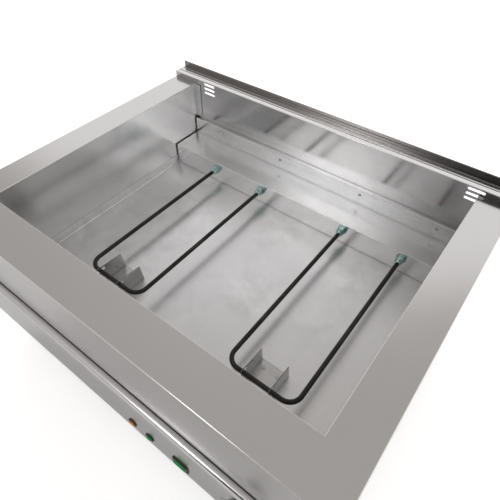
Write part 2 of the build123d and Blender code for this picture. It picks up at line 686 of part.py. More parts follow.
save(thermostat_body, "thermostat_body")

thermostat_nut = bored_discs([KNOB_PLANE.offset(DIAL)], radius=7.4, bore=5.05,
                             thickness=2.2, sides=6)
save(thermostat_nut, "thermostat_nut")

dial_plate = bored_discs([KNOB_PLANE], radius=34.0, bore=5.1, thickness=DIAL)
save(dial_plate, "dial_plate")

SHAFT_R = 3.0
SHAFT_FLAT = 7.0             # where the flat on the shaft starts, and its length
with BuildPart() as thermostat_shaft:
    with BuildSketch(KNOB_PLANE.offset(-SHEET - 16.0)):
        Circle(SHAFT_R)
    extrude(amount=16.0 + SHEET + SHAFT_FLAT)
    with BuildSketch(KNOB_PLANE.offset(SHAFT_FLAT)):
        Circle(SHAFT_R)
        with Locations((0, 3.2)):
            Rectangle(8, 2.4, mode=Mode.SUBTRACT)
    extrude(amount=SHAFT_FLAT)
save(thermostat_shaft, "thermostat_shaft")

SKIRT_BACK, SKIRT, GRIP = 5.0, 3.6, 9.4     # gap to the panel, then lengths of the steps
SKIRT_FRONT = SKIRT_BACK + SKIRT
FLUTES, FLUTE_CIRCLE_R = 24, 20.3
with BuildPart() as thermostat_knob:
    with BuildSketch(KNOB_PLANE.offset(SKIRT_BACK)):
        Circle(23.0)
    extrude(amount=SKIRT)
    fillet(edges_at(thermostat_knob, GeomType.CIRCLE, y=CONTROL_Y - SKIRT_FRONT), 1.0)
    with BuildSketch(KNOB_PLANE.offset(SKIRT_FRONT)):
        Circle(19.5)
    extrude(amount=GRIP, taper=4)
    # upright bar across the face
    with BuildSketch(KNOB_PLANE.offset(SKIRT_FRONT + GRIP)):
        RectangleRounded(5.0, 32.0, 1.5)
    extrude(amount=3.8)
    for k in range(FLUTES):
        angle = math.radians(360 / FLUTES * k)
        with BuildSketch(KNOB_PLANE.offset(9.2)):
            with Locations((FLUTE_CIRCLE_R * math.cos(angle), FLUTE_CIRCLE_R * math.sin(angle))):
                Circle(1.7)
        extrude(amount=16.0, mode=Mode.SUBTRACT)
    # shaft bore, then the recess clear of the nut
    with BuildSketch(KNOB_PLANE.offset(4.0)):
        Circle(3.05)
    extrude(amount=11.0, mode=Mode.SUBTRACT)
    with BuildSketch(KNOB_PLANE.offset(4.0)):
        Circle(12.0)
    extrude(amount=3.4, mode=Mode.SUBTRACT)
save(thermostat_knob, "thermostat_knob")

# sensing bulb under the floor pan, with its clips
BULB_X = 20.0
BULB_Z = FLOOR_UNDER - 3.2
BULB_FRONT, BULB_LENGTH = -60.0, 110.0
with BuildPart() as sensing_bulb:
    with BuildSketch(xz_at(BULB_FRONT)):
        with Locations((BULB_X, BULB_Z)):
            Circle(3.0)
    extrude(amount=-BULB_LENGTH)
    fillet(sensing_bulb.edges().filter_by(GeomType.CIRCLE), 1.5)
save(sensing_bulb, "sensing_bulb")

EAR_DX, EAR_SHEET = 9.5, 0.8
with BuildPart() as bulb_clip:
    for y in (-40.0, 20.0):
        with BuildSketch(xz_at(y)):
            # channel below the bulb, open at the top
            with Locations((BULB_X, BULB_Z - 0.7)):
                Rectangle(9.2, 7.8)
                Rectangle(7.4, 6.2, mode=Mode.SUBTRACT)
            with Locations((BULB_X, BULB_Z + 3.2)):
                Rectangle(7.4, 3.0, mode=Mode.SUBTRACT)
            # ears against the pan
            with Locations(*[(BULB_X + dx, FLOOR_UNDER - EAR_SHEET / 2)
                             for dx in (-EAR_DX, EAR_DX)]):
                Rectangle(11.0, EAR_SHEET)
        extrude(amount=8.0)
save(bulb_clip, "bulb_clip")

# ---------------------------------------------------------------- switch
SWITCH_PLANE = control_plane(SWITCH_X)
SWITCH_DEPTH = 22.0
SWITCH_TAB_DX = 8
SWITCH_TAB = 8.0             # tab length
PIVOT_Y = CONTROL_Y + 2.0    # rocker's pivot
with BuildPart() as switch_housing:
    with BuildSketch(SWITCH_PLANE):
        RectangleRounded(31.0, 25.0, 1.5)
    extrude(amount=2.2)
    with BuildSketch(SWITCH_PLANE):
        Rectangle(27.0, 19.0)
    extrude(amount=-SWITCH_DEPTH)
    with BuildSketch(SWITCH_PLANE.offset(2.3)):
        Rectangle(21.0, 17.0)
    extrude(amount=-15.0, mode=Mode.SUBTRACT)
    # pivot holes for the rocker
    with BuildSketch(Plane(origin=(SWITCH_X - 13.0, PIVOT_Y, CONTROL_Z),
                           x_dir=(0, 1, 0), z_dir=(1, 0, 0))):
        Circle(1.05)
    extrude(amount=26.0, mode=Mode.SUBTRACT)
    with BuildSketch(SWITCH_PLANE.offset(-SWITCH_DEPTH)):
        with Locations((-SWITCH_TAB_DX, 0), (0, 0), (SWITCH_TAB_DX, 0)):
            Rectangle(0.8, 6.3)
    extrude(amount=-SWITCH_TAB)
save(switch_housing, "switch_housing")

TILT = math.radians(8.0)     # tilt of the rocker in its off position
ROCKER_HALF = 10.2
PIN_HALF = 12.6              # half length of the pivot pin
# (depth, height) about the pivot, before tilting; negative depth is outwards
ROCKER_PROFILE = [(3.5, -3.0), (-3.0, -7.6), (-7.2, -7.6), (-5.4, 0),
                  (-7.2, 7.6), (-3.0, 7.6), (3.5, 3.0)]
with BuildPart() as switch_rocker:
    with BuildSketch(Plane(origin=(SWITCH_X - ROCKER_HALF, PIVOT_Y, CONTROL_Z),
                           x_dir=(0, math.cos(TILT), math.sin(TILT)), z_dir=(1, 0, 0))):
        with BuildLine():
            Polyline(*ROCKER_PROFILE, close=True)
        make_face()
    extrude(amount=2 * ROCKER_HALF)
    fillet(ShapeList([e for e in switch_rocker.edges().filter_by(Axis.X)
                      if e.center().Y < PIVOT_Y - 6.0]), 0.8)
    with BuildSketch(Plane(origin=(SWITCH_X - PIN_HALF, PIVOT_Y, CONTROL_Z),
                           x_dir=(0, 1, 0), z_dir=(1, 0, 0))):
        Circle(1.0)
    extrude(amount=2 * PIN_HALF)
save(switch_rocker, "switch_rocker")

# ---------------------------------------------------------------- indicator lamps
BEZEL = 2.0                  # bezel height
LENS_BACK, LENS_LENGTH = -7.9, 12.4
with BuildPart() as lamp_bodies:
    for x in LAMPS.values():
        lamp_plane = control_plane(x)
        with BuildSketch(lamp_plane):
            Circle(9.0)
        extrude(amount=BEZEL)
        with BuildSketch(lamp_plane):
            Circle(6.0)
        extrude(amount=-24.0)
        with BuildSketch(lamp_plane.offset(-8.0)):
            Circle(5.1)
        extrude(amount=12.0, mode=Mode.SUBTRACT)
    chamfer(edges_at(lamp_bodies, GeomType.CIRCLE, y=CONTROL_Y - BEZEL, radius_over=8), 0.7)
save(lamp_bodies, "lamp_bodies")

for name, x in LAMPS.items():
    with BuildPart() as lamp_lens:
        with BuildSketch(control_plane(x).offset(LENS_BACK)):
            Circle(5.0)
        extrude(amount=LENS_LENGTH)
        fillet(edges_at(lamp_lens, GeomType.CIRCLE, y=CONTROL_Y - LENS_BACK - LENS_LENGTH), 1.8)
    save(lamp_lens, name)

# ---------------------------------------------------------------- electrical parts inside
INLET_PLANE = facing_rear(INLET_X, Y_REAR, INLET_Z, across=-1)
INLET_FLANGE = 3.0
PIN_PLACES = ((-7, -2), (0, 2), (7, -2))
PIN_LENGTH = 26.0
with BuildPart() as power_inlet:
    with BuildSketch(INLET_PLANE):
        RectangleRounded(50.0, 24.0, 4.0)
        with Locations((-INLET_SCREW_DX, 0), (INLET_SCREW_DX, 0)):
            Circle(1.6, mode=Mode.SUBTRACT)
    extrude(amount=INLET_FLANGE)
    with BuildSketch(INLET_PLANE):
        RectangleRounded(27.0, 20.0, 1.8)
    extrude(amount=-18.0)
    # socket with two cut corners at the top
    with BuildSketch(INLET_PLANE.offset(3.1)):
        with BuildLine():
            Polyline((-11.5, -7.5), (11.5, -7.5), (11.5, 3.5), (7.5, 7.8),
                     (-7.5, 7.8), (-11.5, 3.5), close=True)
        make_face()
    extrude(amount=-17.1, mode=Mode.SUBTRACT)
    with BuildSketch(INLET_PLANE.offset(-19)):
        with Locations(*PIN_PLACES):
            Rectangle(2.1, 4.1)
    extrude(amount=8.0, mode=Mode.SUBTRACT)
save(power_inlet, "power_inlet")

with BuildPart() as inlet_pins:
    with BuildSketch(INLET_PLANE.offset(-PIN_LENGTH)):
        with Locations(*PIN_PLACES):
            Rectangle(2.0, 4.0)
    extrude(amount=PIN_LENGTH)
save(inlet_pins, "inlet_pins")

inlet_screws = screws([facing_rear(INLET_X + dx, Y_REAR + INLET_FLANGE, INLET_Z, across=-1)
                       for dx in (INLET_SCREW_DX, -INLET_SCREW_DX)],
                      head=(2.8, 1.4), shank=(1.5, 9.0), recess_floor=0.7, recess=[(3.4, 0.7)])
save(inlet_screws, "inlet_screws")

EARTH_SEAT = xz_at(Y_REAR + 0.02)
with BuildPart() as earth_stud:
    with BuildSketch(EARTH_SEAT):
        with Locations(EARTH_AT):
            RegularPolygon(5.7, 6)
    extrude(amount=-3.6)
    with BuildSketch(EARTH_SEAT):
        with Locations(EARTH_AT):
            Circle(3.0)
    extrude(amount=22.0)
save(earth_stud, "earth_stud")

# nut with a round collar against the panel
with BuildPart() as earth_nut:
    with BuildSketch(xz_at(Y_BACK - 0.05)):
        with Locations(EARTH_AT):
            Circle(6.2)
            Circle(3.05, mode=Mode.SUBTRACT)
    extrude(amount=1.2)
    with BuildSketch(xz_at(Y_BACK - 1.2)):
        with Locations(EARTH_AT):
            RegularPolygon(5.7, 6)
            Circle(3.05, mode=Mode.SUBTRACT)
    extrude(amount=4.8)
save(earth_nut, "earth_nut")

BLOCK_X, BLOCK_Y = 120.0, 200.0
BLOCK_PITCH = 10.0           # between terminals along X
BLOCK_ROW = 9.0              # each row's distance from the block's centre
with BuildPart() as terminal_block:
    with BuildSketch(Plane.XY.offset(Z_BASE + SHEET)):
        with Locations((BLOCK_X, BLOCK_Y)):
            RectangleRounded(56.0, 30.0, 2.0)
    extrude(amount=18.0)
    with BuildSketch(Plane.XY.offset(Z_BASE + SHEET + 10.0)):
        with Locations(*grid([BLOCK_X + k * BLOCK_PITCH for k in range(-2, 3)],
                             (BLOCK_Y - BLOCK_ROW, BLOCK_Y + BLOCK_ROW))):
            Circle(2.6)
    extrude(amount=10.0, mode=Mode.SUBTRACT)
save(terminal_block, "terminal_block")

CUTOUT_X, CUTOUT_Y = CUTOUT = (-20.0, -20.0)
CUTOUT_HEIGHT = 8.0
with BuildPart() as safety_cutout:
    with BuildSketch(Plane.XY.offset(FLOOR_UNDER)):
        with Locations(CUTOUT):
            Circle(12.0)
    extrude(amount=-CUTOUT_HEIGHT)
    with BuildSketch(Plane.XY.offset(FLOOR_UNDER)):
        with Locations(CUTOUT):
            Rectangle(34.0, 7.0)
    extrude(amount=-0.8)
    with BuildSketch(Plane.XY.offset(FLOOR_UNDER - CUTOUT_HEIGHT)):
        with Locations((CUTOUT_X - 5, CUTOUT_Y), (CUTOUT_X + 5, CUTOUT_Y)):
            Rectangle(0.8, 6.3)
    extrude(amount=-8.0)
save(safety_cutout, "safety_cutout")

GROMMET_LIP = 2.0
# (bottom z, radius, height) of the lower lip, neck and upper lip
GROMMET_STEPS = [
    (FLOOR_UNDER - GROMMET_LIP, 10.5, GROMMET_LIP),
    (FLOOR_UNDER, 7.9, SHEET),
    (Z_FLOOR, 10.5, GROMMET_LIP),
]
with BuildPart() as wiring_grommet:
    for z, radius, height in GROMMET_STEPS:
        with BuildSketch(Plane.XY.offset(z)):
            with Locations(GROMMET):
                Circle(radius)
                Circle(5.5, mode=Mode.SUBTRACT)
        extrude(amount=height)
save(wiring_grommet, "wiring_grommet")


# ---------------------------------------------------------------- wiring
def wire(points, radius=1.3, bend=5.0):
    first, second = Vector(*points[0]), Vector(*points[1])
    with BuildPart() as lead:
        with BuildLine() as path:
            FilletPolyline(*points, radius=bend)
        with BuildSketch(Plane(origin=first, z_dir=second - first)):
            Circle(radius)
        sweep(path=path.wires()[0])
    return lead.part


def harness(wires):
    with BuildPart() as bundle:
        for lead in wires:
            add(lead)
    return bundle


def element_lead(leg_x, lane_y, grommet_dx):
    """Heat-resistant lead from an element terminal down through the grommet."""
    z, low_z = ELEMENT_Z + 1.6, 230.0
    drop_x = GROMMET_X + grommet_dx
    return wire([(leg_x, ELEMENT_END + 22.0, z), (leg_x, lane_y, z), (leg_x, lane_y, low_z),
                 (drop_x, lane_y, low_z), (drop_x, GROMMET_Y, low_z),
                 (drop_x, GROMMET_Y, 200.0)], radius=1.1, bend=3.0)


element_leads = [element_lead(x, 260.5 + 4.0 * i, dx)
                 for i, (x, dx) in enumerate(zip(LEG_X, (-3.6, -1.2, 1.2, 3.6)))]
save(harness(element_leads), "element_leads")

BLOCK_WIRE_Z = 56.0          # wire ends in the terminal block


def inlet_wire(pin_x, lane_y, z, block_x):
    y = BLOCK_Y + BLOCK_ROW
    return wire([(pin_x, 261.8, z), (pin_x, lane_y, z), (block_x, lane_y, z),
                 (block_x, y, z), (block_x, y, BLOCK_WIRE_Z)])


def front_wire(block_x, low_z, lane_y, end_x, end_y, end_z):
    y = BLOCK_Y - BLOCK_ROW
    return wire([(block_x, y, BLOCK_WIRE_Z), (block_x, y, low_z), (block_x, lane_y, low_z),
                 (block_x, lane_y, end_z), (end_x, lane_y, end_z), (end_x, end_y, end_z)])


SWITCH_END, THERMOSTAT_END = -268.8, -255.8     # y of the wire ends at the controls
SWITCH_TAB_X = SWITCH_X - SWITCH_TAB_DX
supply_wires = [
    # inlet to terminal block: pin x, lane y, z, block x
    inlet_wire(INLET_X + 7, 235.0, 98.0, BLOCK_X + 2 * BLOCK_PITCH),
    inlet_wire(INLET_X - 7, 240.0, 98.0, BLOCK_X + BLOCK_PITCH),
    inlet_wire(INLET_X, 246.0, 103.0, BLOCK_X),
    # terminal block to switch (two) and thermostat: block x, low z, lane y, end x, y, z
    front_wire(BLOCK_X, 75.0, -235.0, SWITCH_TAB_X, SWITCH_END, CONTROL_Z),
    front_wire(BLOCK_X + BLOCK_PITCH, 80.0, -228.0, SWITCH_X, SWITCH_END, CONTROL_Z),
    front_wire(BLOCK_X + 2 * BLOCK_PITCH, 85.0, -222.0,
               KNOB_X - TAB_DX, THERMOSTAT_END, CONTROL_Z - TAB_DZ),
]
save(harness(supply_wires), "supply_wiring")

# capillary from the bulb to the back of the thermostat
CAPILLARY_Y, CAPILLARY_Z = -110.0, 163.0
capillary = wire([(BULB_X, BULB_FRONT - 0.6, BULB_Z), (BULB_X, CAPILLARY_Y, BULB_Z),
                  (BULB_X, CAPILLARY_Y, CAPILLARY_Z), (KNOB_X, CAPILLARY_Y, CAPILLARY_Z),
                  (KNOB_X, CONTROL_Y + SHEET + BODY_DEPTH + 0.4, CAPILLARY_Z)],
                 radius=1.0, bend=9.0)
save(harness([capillary]), "capillary_tube")

# ---------------------------------------------------------------- insulation
PAD_FRONT, PAD_BACK = -214.0, 196.0      # floor pad's extent along Y
with BuildPart() as insulation_floor:
    with BuildSketch(Plane.XY.offset(190.0)):
        with Locations((0, (PAD_FRONT + PAD_BACK) / 2)):
            Rectangle(636.0, PAD_BACK - PAD_FRONT)
    extrude(amount=26.5)
    # cut-out around the bulb and safety cutout, open at the front
    with BuildSketch(Plane.XY.offset(189.0)):
        with Locations((BULB_X, -62.0)):
            Rectangle(120.0, 306.0)
    extrude(amount=40.0, mode=Mode.SUBTRACT)
save(insulation_floor, "insulation_floor")

INSULATION_TOP = 380.0
SIDE_PAD_BOTTOM, FRONT_PAD_BOTTOM = 212.0, 256.0
with BuildPart() as insulation_walls:
    with BuildSketch(Plane.XY.offset(SIDE_PAD_BOTTOM)):
        with Locations((-353.0, 28.0), (353.0, 28.0)):
            Rectangle(44.0, 484.0)
    extrude(amount=INSULATION_TOP - SIDE_PAD_BOTTOM)
    with BuildSketch(Plane.XY.offset(FRONT_PAD_BOTTOM)):
        with Locations((0, -245.0)):
            Rectangle(640.0, 40.0)
    extrude(amount=INSULATION_TOP - FRONT_PAD_BOTTOM)
save(insulation_walls, "insulation_walls")

# ---------------------------------------------------------------- casing screws
casing_planes = [facing_rear(x, Y_REAR, z, across=-1)
                 for x, z in REAR_SIDE_SCREWS + REAR_BASE_SCREWS]
casing_planes += [facing_front(x, PANEL_Y, z) for x, z in FRONT_BASE_SCREWS]
casing_screws = screws(casing_planes, head=(3.7, 2.0), shank=(2.0, 7.0), recess_floor=0.9,
                       recess=[(4.2, 0.9), (0.9, 4.2)], rounding=1.1)
save(casing_screws, "casing_screws")
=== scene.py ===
"""Looks for a stainless steel appliance with an electrically heated well.

The front and its dial face -Y, the back panel is on the +Y side. The script gives the pieces
materials and rounded edges, prints the scale on the dial plate, and sets up the floor, the
light and the camera.
"""
import json
import math

import bmesh
import bpy
from mathutils import Matrix, Vector


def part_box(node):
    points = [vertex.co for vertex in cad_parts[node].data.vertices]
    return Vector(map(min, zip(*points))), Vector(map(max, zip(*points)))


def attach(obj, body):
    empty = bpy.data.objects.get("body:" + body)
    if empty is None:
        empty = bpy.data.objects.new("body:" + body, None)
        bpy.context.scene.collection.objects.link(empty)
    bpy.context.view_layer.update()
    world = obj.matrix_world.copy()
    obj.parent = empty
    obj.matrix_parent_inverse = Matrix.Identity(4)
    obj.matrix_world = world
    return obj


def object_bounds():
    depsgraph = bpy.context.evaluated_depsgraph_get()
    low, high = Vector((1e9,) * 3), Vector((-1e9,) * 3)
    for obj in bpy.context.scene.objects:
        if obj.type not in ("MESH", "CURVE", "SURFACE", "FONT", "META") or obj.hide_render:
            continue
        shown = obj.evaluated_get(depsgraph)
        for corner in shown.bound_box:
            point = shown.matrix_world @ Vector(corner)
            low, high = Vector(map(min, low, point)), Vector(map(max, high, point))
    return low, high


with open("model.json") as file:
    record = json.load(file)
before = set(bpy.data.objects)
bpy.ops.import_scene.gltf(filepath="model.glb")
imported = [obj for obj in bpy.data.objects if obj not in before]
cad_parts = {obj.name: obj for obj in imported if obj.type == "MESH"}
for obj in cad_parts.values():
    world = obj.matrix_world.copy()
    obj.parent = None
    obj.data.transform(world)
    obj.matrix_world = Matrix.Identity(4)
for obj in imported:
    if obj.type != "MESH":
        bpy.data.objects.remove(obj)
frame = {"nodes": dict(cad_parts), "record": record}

CAD_BOX = [list(v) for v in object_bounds()]
scene = bpy.context.scene
NODES = frame["nodes"]
SLOT_OF = {s["node"]: s["material_slot"] for s in frame["record"]["subparts"]}

# Grain directions of sheet metal
ALONG_X = (1.0, 0.0, 0.0)
ALONG_Y = (0.0, 1.0, 0.0)

# ---------------------------------------------------------------- shader node helper


class Tree:
    """Writes the shader nodes of a material or a world as expressions.

    A value is a number, a tuple (colours as RGB) or the output socket of another node.
    """

    def __init__(self, owner, output="OutputMaterial", coords="Object"):
        owner.use_nodes = True
        self.owner = owner
        self.nodes = owner.node_tree.nodes
        self.links = owner.node_tree.links
        self.nodes.clear()
        self.out = self.node(output)
        self.coords = self.node("TexCoord").outputs[coords]

    def put(self, socket, value):
        if isinstance(value, bpy.types.NodeSocket):
            self.links.new(value, socket)
        elif socket.type == "RGBA":
            socket.default_value = (*value, 1.0)
        else:
            socket.default_value = value

    def node(self, kind, inputs=None, **settings):
        made = self.nodes.new("ShaderNode" + kind)
        for key, value in settings.items():
            setattr(made, key, value)
        for key, value in (inputs or {}).items():
            self.put(made.inputs[key], value)
        return made

    def surface(self, shader):
        self.put(self.out.inputs["Surface"], shader.outputs[0])

    # arithmetic

    def math(self, operation, *operands, clamp=False):
        inputs = dict(enumerate(operands))
        return self.node("Math", inputs, operation=operation, use_clamp=clamp).outputs[0]

    def add(self, first, second):
        return self.math("ADD", first, second)

    def sub(self, first, second):
        return self.math("SUBTRACT", first, second)

    def mul(self, first, second):
        return self.math("MULTIPLY", first, second)

    def vary(self, value, noise, amount):
        """Moves a value up and down with a noise that is centred on 0.5."""
        return self.add(value, self.mul(self.sub(noise, 0.5), amount))

    def darken(self, value, mask, amount):
        return self.mul(value, self.sub(1.0, self.mul(mask, amount)))

    def remap(self, value, start, end, to=(0.0, 1.0), smooth=True):
        """Takes start..end to the range `to`, clamped."""
        inputs = {"Value": value, "From Min": start, "From Max": end,
                  "To Min": to[0], "To Max": to[1]}
        kind = "SMOOTHSTEP" if smooth else "LINEAR"
        return self.node("MapRange", inputs, interpolation_type=kind, clamp=True).outputs["Result"]

    # vectors and colours

    def xyz(self, source=None):
        return self.node("SeparateXYZ", {0: source or self.coords}).outputs

    def combine(self, x, y, z):
        return self.node("CombineXYZ", {0: x, 1: y, 2: z}).outputs[0]

    def world_normal(self):
        return self.xyz(self.node("NewGeometry").outputs["Normal"])

    def mapped(self, scale=(1, 1, 1), offset=(0, 0, 0), turn=(0, 0, 0)):
        inputs = {"Vector": self.coords, "Location": offset, "Rotation": turn, "Scale": scale}
        return self.node("Mapping", inputs).outputs[0]

    def mix(self, factor, first, second, blend="MIX"):
        inputs = {0: factor, 6: first, 7: second}
        return self.node("Mix", inputs, data_type="RGBA", blend_type=blend).outputs[2]

    def shade(self, colour, value, blend="MULTIPLY"):
        """Blends a grey value fully over a colour."""
        return self.mix(1.0, colour, self.combine(value, value, value), blend)

    # textures

    def noise(self, scale, detail=3.0, rough=0.6, vector=None, offset=None, distortion=0.0):
        if offset:
            vector = self.mapped(offset=offset)
        inputs = {"Vector": vector or self.coords, "Scale": scale, "Detail": detail,
                  "Roughness": rough, "Distortion": distortion}
        return self.node("TexNoise", inputs, noise_dimensions="3D").outputs["Fac"]

    def bump(self, height, distance, normal=None):
        inputs = {"Strength": 1.0, "Distance": distance, "Height": height}
        if normal is not None:
            inputs["Normal"] = normal
        return self.node("Bump", inputs).outputs["Normal"]

    # masks

    def edge(self, radius):
        """0 on flats, rising to 1 next to a sharp outer edge."""
        bevel = self.node("Bevel", {"Radius": radius}, samples=4).outputs["Normal"]
        flat = self.node("NewGeometry").outputs["Normal"]
        dot = self.node("VectorMath", {0: bevel, 1: flat}, operation="DOT_PRODUCT")
        return self.remap(dot.outputs["Value"], 0.995, 0.80)

    def fold(self):
        """1 on the rounded folds between two faces of a box-shaped sheet, 0 on the flats."""
        normal = self.node("NewGeometry").outputs["Normal"]
        local = self.node("VectorTransform", {0: normal}, vector_type="NORMAL",
                          convert_from="WORLD", convert_to="OBJECT").outputs[0]
        x, y, z = [self.mul(part, part) for part in self.xyz(local)]
        pairs = self.mul(x, y), self.mul(y, z), self.mul(x, z)
        return self.remap(self.add(self.add(pairs[0], pairs[1]), pairs[2]), 0.01, 0.17)

    def cavity(self, distance):
        """1 in the open, falling to 0 in a corner."""
        return self.node("AmbientOcclusion", {"Distance": distance}, samples=4).outputs["AO"]

    def principled(self, **inputs):
        named = {key.replace("_", " "): value for key, value in inputs.items()}
        shader = self.node("BsdfPrincipled", named)
        self.surface(shader)
        return shader


def material_tree(name):
    return Tree(bpy.data.materials.new(name))


def toned(tint, gain, lift=0.0):
    return tuple(min(1.0, c * gain + lift) for c in tint)


# ---------------------------------------------------------------- sheet steel


def scratches(tree, seed, origin):
    """Hair scratches in two directions, thinned out by a patchy mask."""
    first = tree.noise(1.0, 0.0, 0.4, tree.mapped(
        (6.0, 600.0, 600.0), origin, (0.0, 0.0, math.radians(34))))
    second = tree.noise(1.0, 0.0, 0.4, tree.mapped(
        (600.0, 7.0, 600.0), origin, (0.0, 0.0, math.radians(-22))))
    mask = tree.remap(tree.noise(14.0, 2.0, 0.5, offset=(seed + 11.0, 4.0, 2.0)), 0.48, 0.70)
    lines = [tree.remap(noise, 0.68, 0.80) for noise in (first, second)]
    return tree.mul(tree.math("MAXIMUM", *lines), mask)


def water_marks(tree, value, seed, amount):
    """Dry water marks and wiping stains, gathered in patches."""
    large = tree.noise(22.0, 3.0, 0.55, offset=(seed + 1.0, 8.0, 3.0), distortion=0.5)
    small = tree.noise(64.0, 2.0, 0.5, offset=(seed + 2.0, 1.0, 6.0))
    patch = tree.remap(tree.noise(8.0, 2.0, 0.5, offset=(seed + 5.0, 2.0, 9.0)), 0.40, 0.62)
    blend = tree.add(tree.mul(large, 0.85), tree.mul(small, 0.15))
    marks = tree.mul(tree.sub(blend, 0.5), patch)
    return tree.add(value, tree.mul(marks, 2.0 * amount))


def shade_ears(tree, value, foot):
    """Paints shade on a bracket's upright ears, and deeper shade on their sideways cut edges."""
    upright = tree.remap(tree.xyz()[2], foot + 0.0018, foot + 0.0030)
    value = tree.darken(value, upright, 0.25)
    sideways = tree.math("ABSOLUTE", tree.world_normal()[0])
    cut_edge_shade = tree.mul(upright, tree.remap(sideways, 0.80, 0.30))
    return tree.darken(value, cut_edge_shade, 0.70)


def dark_flecks(tree, value, seed, amount):
    cells = tree.node("TexVoronoi", {"Vector": tree.mapped(offset=(seed, 0.3, 0.9)),
                                     "Scale": 62.0})
    spots = tree.remap(cells.outputs["Distance"], 0.045, 0.020)
    rare = tree.remap(tree.noise(7.0, 1.0, 0.4, offset=(seed, 9.0, 3.0)), 0.52, 0.60)
    return tree.darken(value, tree.mul(spots, rare), amount)


def add_haze(tree, metal, value, cloud_noise, amount):
    """Lays a thin film of haze and wiping marks over the metal."""
    film = tree.node("BsdfDiffuse", {"Color": tree.shade((0.80, 0.80, 0.80), value),
                                     "Roughness": 0.6})
    cover = tree.mul(tree.remap(cloud_noise, 0.25, 0.75, to=(0.4, 1.4), smooth=False), amount)
    tree.surface(tree.node("MixShader", {0: cover, 1: metal.outputs[0], 2: film.outputs[0]}))


def steel(name, tint, *, rough, streak, cloud, cloud_scale, wavy, corner_shade, edge_gain, seed,
          spread=0.03, grain=ALONG_X, aniso=0.30, seam=0.30, fleck=0.0, mottle=0.0, haze=0.0,
          ears=None):
    """Stainless sheet: grain, clouds, faint scratches, smooth folds, painted highlight and shade.

    rough, spread: roughness and its drift; streak: contrast of the grain; cloud: contrast of
    the clouds; wavy: height of the sheet's waves in metres; corner_shade, seam: painted shade
    in corners and where sheets meet; edge_gain: painted highlight on edges and folds, painted
    shade where it is negative; fleck, mottle, haze: strength of dark flecks, water marks and
    film; ears: height of a bracket's foot, above which the ears get painted shade.
    """
    tree = material_tree(name)
    origin = (seed, seed * 0.7, seed * 1.3)
    # noises drawn out along the grain
    fine_scale = tuple(9.0 if c else 520.0 for c in grain)
    coarse_scale = tuple(2.0 if c else 130.0 for c in grain)
    fine = tree.noise(1.0, 1.0, 0.5, tree.mapped(fine_scale, origin))
    coarse = tree.noise(1.0, 2.0, 0.5, tree.mapped(coarse_scale, origin))
    clouds = tree.noise(cloud_scale, 4.0, offset=(seed + 3.1, 1.7, 0.4), distortion=0.35)
    broad = tree.noise(2.6, 2.0, 0.5, offset=(seed + 7.7, 2.1, 5.4))
    scratch = scratches(tree, seed, origin)
    edge = tree.edge(0.0006)
    fold = tree.fold()
    corner = tree.cavity(0.016)
    seam_line = tree.remap(tree.cavity(0.0030), 0.35, 0.80, to=(1.0 - seam, 1.0))

    # brightness
    value = tree.vary(1.0, clouds, 2.0 * cloud)
    value = tree.vary(value, coarse, 2.0 * streak)
    value = tree.vary(value, fine, 0.9 * streak)
    if mottle:
        value = water_marks(tree, value, seed, mottle)
    # painted highlight on edges and folds, painted shade where edge_gain is negative
    value = tree.add(value, tree.mul(tree.math("MAXIMUM", edge, fold), edge_gain))
    value = tree.add(value, tree.mul(scratch, -1.2 * streak))
    # painted shade, darker where the occlusion mask finds a corner
    value = tree.mul(value, tree.remap(corner, 0.15, 0.75, to=(1.0 - corner_shade, 1.0)))
    # painted shade along the creases where sheets meet
    value = tree.mul(value, seam_line)
    # painted shade on the upright ears of a bracket
    if ears is not None:
        value = shade_ears(tree, value, ears)
    if fleck:
        value = dark_flecks(tree, value, seed, fleck)

    # the tint drifts between a cooler and a warmer one
    red, green, blue = tint
    cool = (red * 0.985, green * 0.99, blue * 1.01)
    warm = (red * 1.01, green, blue * 0.985)
    colour = tree.shade(tree.mix(broad, cool, warm), value)

    roughness = tree.vary(rough, clouds, 2.0 * spread)
    roughness = tree.vary(roughness, coarse, 0.8 * streak)
    roughness = tree.add(roughness, tree.mul(scratch, 0.2 * streak))
    polish = tree.mul(tree.math("MAXIMUM", edge, fold), 0.08)
    roughness = tree.math("SUBTRACT", roughness, polish, clamp=True)

    # relief: waves of the sheet, then the grain
    normal = tree.bump(tree.noise(5.0, 1.0, 0.4, offset=(seed, 6.0, 1.0)), wavy)
    normal = tree.bump(coarse, 0.0000035, normal)
    normal = tree.bump(fine, 0.0000008, normal)
    metal = tree.principled(Base_Color=colour, Metallic=1.0, Roughness=roughness, Normal=normal,
                            Anisotropic=aniso, Tangent=tree.combine(*grain))
    if haze:
        add_haze(tree, metal, value, clouds, haze)
    return tree.owner


# ---------------------------------------------------------------- other materials


def plated(name, tint, rough, recess_shade, tone=None):
    """Small plated or turned hardware: slight texture, painted corner shade and edge highlight.

    tone is a second colour that comes through in patches.
    """
    tree = material_tree(name)
    grit = tree.noise(260.0)
    drift = tree.noise(45.0, offset=(2.0, 3.0, 4.0))
    edge = tree.edge(0.0005)
    corner = tree.cavity(0.005)
    base = tree.mix(tree.remap(drift, 0.35, 0.65), toned(tint, 0.84), tint)
    if tone:
        base = tree.mix(tree.remap(drift, 0.42, 0.62, to=(0.0, 0.75)), base, tone)
    # painted shade in corners and a painted highlight along edges
    value = tree.add(tree.remap(corner, 0.1, 0.8, to=(1.0 - recess_shade, 1.0)), tree.mul(edge, 0.22))
    tree.principled(Base_Color=tree.shade(base, value), Metallic=1.0,
                    Roughness=tree.vary(rough, grit, 0.24), Normal=tree.bump(grit, 0.00002))
    return tree.owner


